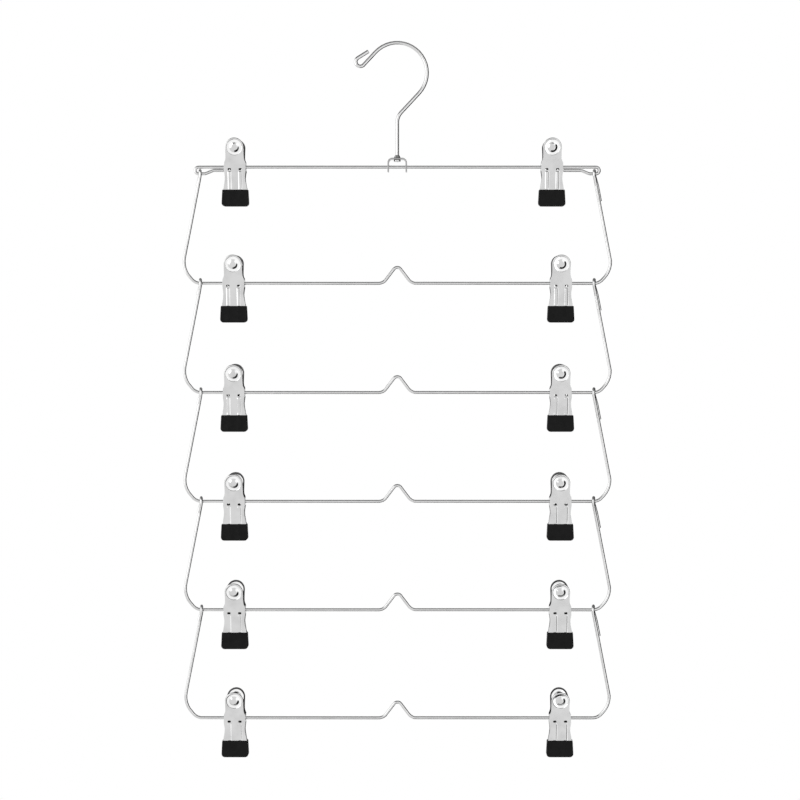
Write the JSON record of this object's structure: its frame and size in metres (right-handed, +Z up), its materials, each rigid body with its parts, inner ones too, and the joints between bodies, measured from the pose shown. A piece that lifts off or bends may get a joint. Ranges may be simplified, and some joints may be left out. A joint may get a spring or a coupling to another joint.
{
  "type": "skirt hanger",
  "caption": "Tiered wire skirt hanger: a swivel hook carries a bar and a chain of hinged wire frames, each with sliding sprung clips with rubber-capped jaws.",
  "frame": {"origin": "underside of the hook's crown, where a closet rail touches it, on the stem's axis", "axes": "+Z up along the stem, +X along the bars to the right, +Y away from the front"},
  "size_m": [0.3508, 0.0196, 0.5864],
  "materials": {
    "hook_wire": "polished",
    "saddle": "polished",
    "bar_wire": "polished",
    "plate": "polished",
    "pad": "matte",
    "spring": "satin"
  },
  "bodies": {
    "hook": {"hook": "hook_wire"},
    "top_bar": {"swivel_saddle": "saddle", "top_bar": "bar_wire"},
    "tier_2": {"tier_2_frame": "bar_wire"},
    "tier_3": {"tier_3_frame": "bar_wire"},
    "tier_4": {"tier_4_frame": "bar_wire"},
    "tier_5": {"tier_5_frame": "bar_wire"},
    "tier_6": {"tier_6_frame": "bar_wire"},
    "clip_1_left_spring": {"clip_1_left_spring": "spring"},
    "clip_1_left_back": {"clip_1_left_back_jaw": "plate"},
    "clip_1_left_front": {"clip_1_left_front_plate": "plate", "clip_1_left_front_pad": "pad"},
    "clip_1_right_spring": {"clip_1_right_spring": "spring"},
    "clip_1_right_back": {"clip_1_right_back_jaw": "plate"},
    "clip_1_right_front": {"clip_1_right_front_plate": "plate", "clip_1_right_front_pad": "pad"},
    "clip_2_left_spring": {"clip_2_left_spring": "spring"},
    "clip_2_left_back": {"clip_2_left_back_jaw": "plate"},
    "clip_2_left_front": {"clip_2_left_front_plate": "plate", "clip_2_left_front_pad": "pad"},
    "clip_2_right_spring": {"clip_2_right_spring": "spring"},
    "clip_2_right_back": {"clip_2_right_back_jaw": "plate"},
    "clip_2_right_front": {"clip_2_right_front_plate": "plate", "clip_2_right_front_pad": "pad"},
    "clip_3_left_spring": {"clip_3_left_spring": "spring"},
    "clip_3_left_back": {"clip_3_left_back_jaw": "plate"},
    "clip_3_left_front": {"clip_3_left_front_plate": "plate", "clip_3_left_front_pad": "pad"},
    "clip_3_right_spring": {"clip_3_right_spring": "spring"},
    "clip_3_right_back": {"clip_3_right_back_jaw": "plate"},
    "clip_3_right_front": {"clip_3_right_front_plate": "plate", "clip_3_right_front_pad": "pad"},
    "clip_4_left_spring": {"clip_4_left_spring": "spring"},
    "clip_4_left_back": {"clip_4_left_back_jaw": "plate"},
    "clip_4_left_front": {"clip_4_left_front_plate": "plate", "clip_4_left_front_pad": "pad"},
    "clip_4_right_spring": {"clip_4_right_spring": "spring"},
    "clip_4_right_back": {"clip_4_right_back_jaw": "plate"},
    "clip_4_right_front": {"clip_4_right_front_plate": "plate", "clip_4_right_front_pad": "pad"},
    "clip_5_left_spring": {"clip_5_left_spring": "spring"},
    "clip_5_left_back": {"clip_5_left_back_jaw": "plate"},
    "clip_5_left_front": {"clip_5_left_front_plate": "plate", "clip_5_left_front_pad": "pad"},
    "clip_5_right_spring": {"clip_5_right_spring": "spring"},
    "clip_5_right_back": {"clip_5_right_back_jaw": "plate"},
    "clip_5_right_front": {"clip_5_right_front_plate": "plate", "clip_5_right_front_pad": "pad"},
    "clip_6_left_spring": {"clip_6_left_spring": "spring"},
    "clip_6_left_back": {"clip_6_left_back_jaw": "plate"},
    "clip_6_left_front": {"clip_6_left_front_plate": "plate", "clip_6_left_front_pad": "pad"},
    "clip_6_right_spring": {"clip_6_right_spring": "spring"},
    "clip_6_right_back": {"clip_6_right_back_jaw": "plate"},
    "clip_6_right_front": {"clip_6_right_front_plate": "plate", "clip_6_right_front_pad": "pad"}
  },
  "joints": [
    {"name": "hook_swivel", "type": "hinge", "parent": "hook", "child": "top_bar", "pos_m": [0, 0, -0.0995], "axis": [0, 0, 1], "continuous": true},
    {"name": "tier_2_swing", "type": "hinge", "parent": "top_bar", "child": "tier_2", "pos_m": [0, 0, -0.1049], "axis": [1, 0, 0], "range_deg": [-100, 100]},
    {"name": "tier_3_swing", "type": "hinge", "parent": "tier_2", "child": "tier_3", "pos_m": [0, 0, -0.1942], "axis": [-1, 0, 0], "range_deg": [-120, 120]},
    {"name": "tier_4_swing", "type": "hinge", "parent": "tier_3", "child": "tier_4", "pos_m": [0, 0, -0.2835], "axis": [1, 0, 0], "range_deg": [-120, 120]},
    {"name": "tier_5_swing", "type": "hinge", "parent": "tier_4", "child": "tier_5", "pos_m": [0, 0, -0.3728], "axis": [-1, 0, 0], "range_deg": [-120, 120]},
    {"name": "tier_6_swing", "type": "hinge", "parent": "tier_5", "child": "tier_6", "pos_m": [0, 0, -0.4621], "axis": [1, 0, 0], "range_deg": [-120, 120]},
    {"name": "clip_1_left_slide", "type": "slide", "parent": "top_bar", "child": "clip_1_left_spring", "axis": [1, 0, 0], "range_m": [-0.0005, 0.105]},
    {"name": "clip_1_left_turn", "type": "hinge", "parent": "clip_1_left_spring", "child": "clip_1_left_back", "pos_m": [-0.132, 0, -0.0995], "axis": [1, 0, 0], "continuous": true},
    {"name": "clip_1_left_squeeze", "type": "hinge", "parent": "clip_1_left_back", "child": "clip_1_left_front", "pos_m": [-0.132, 0, -0.0995], "axis": [-1, 0, 0], "range_deg": [0, 28], "stiffness_Nm_per_rad": 0.26, "springref_deg": -25.78, "deforming": ["clip_1_left_spring"]},
    {"name": "clip_1_right_slide", "type": "slide", "parent": "top_bar", "child": "clip_1_right_spring", "axis": [1, 0, 0], "range_m": [-0.099, 0.0005]},
    {"name": "clip_1_right_turn", "type": "hinge", "parent": "clip_1_right_spring", "child": "clip_1_right_back", "pos_m": [0.126, 0, -0.0995], "axis": [1, 0, 0], "continuous": true},
    {"name": "clip_1_right_squeeze", "type": "hinge", "parent": "clip_1_right_back", "child": "clip_1_right_front", "pos_m": [0.126, 0, -0.0995], "axis": [-1, 0, 0], "range_deg": [0, 28], "stiffness_Nm_per_rad": 0.26, "springref_deg": -25.78, "deforming": ["clip_1_right_spring"]},
    {"name": "clip_2_left_slide", "type": "slide", "parent": "tier_2", "child": "clip_2_left_spring", "axis": [1, 0, 0], "range_m": [-0.011, 0.105]},
    {"name": "clip_2_left_turn", "type": "hinge", "parent": "clip_2_left_spring", "child": "clip_2_left_back", "pos_m": [-0.1335, 0, -0.1942], "axis": [1, 0, 0], "continuous": true},
    {"name": "clip_2_left_squeeze", "type": "hinge", "parent": "clip_2_left_back", "child": "clip_2_left_front", "pos_m": [-0.1335, 0, -0.1942], "axis": [-1, 0, 0], "range_deg": [0, 28], "stiffness_Nm_per_rad": 0.26, "springref_deg": -25.78, "deforming": ["clip_2_left_spring"]},
    {"name": "clip_2_right_slide", "type": "slide", "parent": "tier_2", "child": "clip_2_right_spring", "axis": [1, 0, 0], "range_m": [-0.105, 0.011]},
    {"name": "clip_2_right_turn", "type": "hinge", "parent": "clip_2_right_spring", "child": "clip_2_right_back", "pos_m": [0.1335, 0, -0.1942], "axis": [1, 0, 0], "continuous": true},
    {"name": "clip_2_right_squeeze", "type": "hinge", "parent": "clip_2_right_back", "child": "clip_2_right_front", "pos_m": [0.1335, 0, -0.1942], "axis": [-1, 0, 0], "range_deg": [0, 28], "stiffness_Nm_per_rad": 0.26, "springref_deg": -25.78, "deforming": ["clip_2_right_spring"]},
    {"name": "clip_3_left_slide", "type": "slide", "parent": "tier_3", "child": "clip_3_left_spring", "axis": [1, 0, 0], "range_m": [-0.011, 0.105]},
    {"name": "clip_3_left_turn", "type": "hinge", "parent": "clip_3_left_spring", "child": "clip_3_left_back", "pos_m": [-0.1335, 0, -0.2835], "axis": [1, 0, 0], "continuous": true},
    {"name": "clip_3_left_squeeze", "type": "hinge", "parent": "clip_3_left_back", "child": "clip_3_left_front", "pos_m": [-0.1335, 0, -0.2835], "axis": [-1, 0, 0], "range_deg": [0, 28], "stiffness_Nm_per_rad": 0.26, "springref_deg": -25.78, "deforming": ["clip_3_left_spring"]},
    {"name": "clip_3_right_slide", "type": "slide", "parent": "tier_3", "child": "clip_3_right_spring", "axis": [1, 0, 0], "range_m": [-0.105, 0.011]},
    {"name": "clip_3_right_turn", "type": "hinge", "parent": "clip_3_right_spring", "child": "clip_3_right_back", "pos_m": [0.1335, 0, -0.2835], "axis": [1, 0, 0], "continuous": true},
    {"name": "clip_3_right_squeeze", "type": "hinge", "parent": "clip_3_right_back", "child": "clip_3_right_front", "pos_m": [0.1335, 0, -0.2835], "axis": [-1, 0, 0], "range_deg": [0, 28], "stiffness_Nm_per_rad": 0.26, "springref_deg": -25.78, "deforming": ["clip_3_right_spring"]},
    {"name": "clip_4_left_slide", "type": "slide", "parent": "tier_4", "child": "clip_4_left_spring", "axis": [1, 0, 0], "range_m": [-0.011, 0.105]},
    {"name": "clip_4_left_turn", "type": "hinge", "parent": "clip_4_left_spring", "child": "clip_4_left_back", "pos_m": [-0.1335, 0, -0.3728], "axis": [1, 0, 0], "continuous": true},
    {"name": "clip_4_left_squeeze", "type": "hinge", "parent": "clip_4_left_back", "child": "clip_4_left_front", "pos_m": [-0.1335, 0, -0.3728], "axis": [-1, 0, 0], "range_deg": [0, 28], "stiffness_Nm_per_rad": 0.26, "springref_deg": -25.78, "deforming": ["clip_4_left_spring"]},
    {"name": "clip_4_right_slide", "type": "slide", "parent": "tier_4", "child": "clip_4_right_spring", "axis": [1, 0, 0], "range_m": [-0.105, 0.011]},
    {"name": "clip_4_right_turn", "type": "hinge", "parent": "clip_4_right_spring", "child": "clip_4_right_back", "pos_m": [0.1335, 0, -0.3728], "axis": [1, 0, 0], "continuous": true},
    {"name": "clip_4_right_squeeze", "type": "hinge", "parent": "clip_4_right_back", "child": "clip_4_right_front", "pos_m": [0.1335, 0, -0.3728], "axis": [-1, 0, 0], "range_deg": [0, 28], "stiffness_Nm_per_rad": 0.26, "springref_deg": -25.78, "deforming": ["clip_4_right_spring"]},
    {"name": "clip_5_left_slide", "type": "slide", "parent": "tier_5", "child": "clip_5_left_spring", "axis": [1, 0, 0], "range_m": [-0.011, 0.105]},
    {"name": "clip_5_left_turn", "type": "hinge", "parent": "clip_5_left_spring", "child": "clip_5_left_back", "pos_m": [-0.1335, 0, -0.4621], "axis": [1, 0, 0], "continuous": true},
    {"name": "clip_5_left_squeeze", "type": "hinge", "parent": "clip_5_left_back", "child": "clip_5_left_front", "pos_m": [-0.1335, 0, -0.4621], "axis": [-1, 0, 0], "range_deg": [0, 28], "stiffness_Nm_per_rad": 0.26, "springref_deg": -25.78, "deforming": ["clip_5_left_spring"]},
    {"name": "clip_5_right_slide", "type": "slide", "parent": "tier_5", "child": "clip_5_right_spring", "axis": [1, 0, 0], "range_m": [-0.105, 0.011]},
    {"name": "clip_5_right_turn", "type": "hinge", "parent": "clip_5_right_spring", "child": "clip_5_right_back", "pos_m": [0.1335, 0, -0.4621], "axis": [1, 0, 0], "continuous": true},
    {"name": "clip_5_right_squeeze", "type": "hinge", "parent": "clip_5_right_back", "child": "clip_5_right_front", "pos_m": [0.1335, 0, -0.4621], "axis": [-1, 0, 0], "range_deg": [0, 28], "stiffness_Nm_per_rad": 0.26, "springref_deg": -25.78, "deforming": ["clip_5_right_spring"]},
    {"name": "clip_6_left_slide", "type": "slide", "parent": "tier_6", "child": "clip_6_left_spring", "axis": [1, 0, 0], "range_m": [-0.011, 0.105]},
    {"name": "clip_6_left_turn", "type": "hinge", "parent": "clip_6_left_spring", "child": "clip_6_left_back", "pos_m": [-0.1335, 0, -0.5514], "axis": [1, 0, 0], "continuous": true},
    {"name": "clip_6_left_squeeze", "type": "hinge", "parent": "clip_6_left_back", "child": "clip_6_left_front", "pos_m": [-0.1335, 0, -0.5514], "axis": [-1, 0, 0], "range_deg": [0, 28], "stiffness_Nm_per_rad": 0.26, "springref_deg": -25.78, "deforming": ["clip_6_left_spring"]},
    {"name": "clip_6_right_slide", "type": "slide", "parent": "tier_6", "child": "clip_6_right_spring", "axis": [1, 0, 0], "range_m": [-0.105, 0.011]},
    {"name": "clip_6_right_turn", "type": "hinge", "parent": "clip_6_right_spring", "child": "clip_6_right_back", "pos_m": [0.1335, 0, -0.5514], "axis": [1, 0, 0], "continuous": true},
    {"name": "clip_6_right_squeeze", "type": "hinge", "parent": "clip_6_right_back", "child": "clip_6_right_front", "pos_m": [0.1335, 0, -0.5514], "axis": [-1, 0, 0], "range_deg": [0, 28], "stiffness_Nm_per_rad": 0.26, "springref_deg": -25.78, "deforming": ["clip_6_right_spring"]}
  ]
}
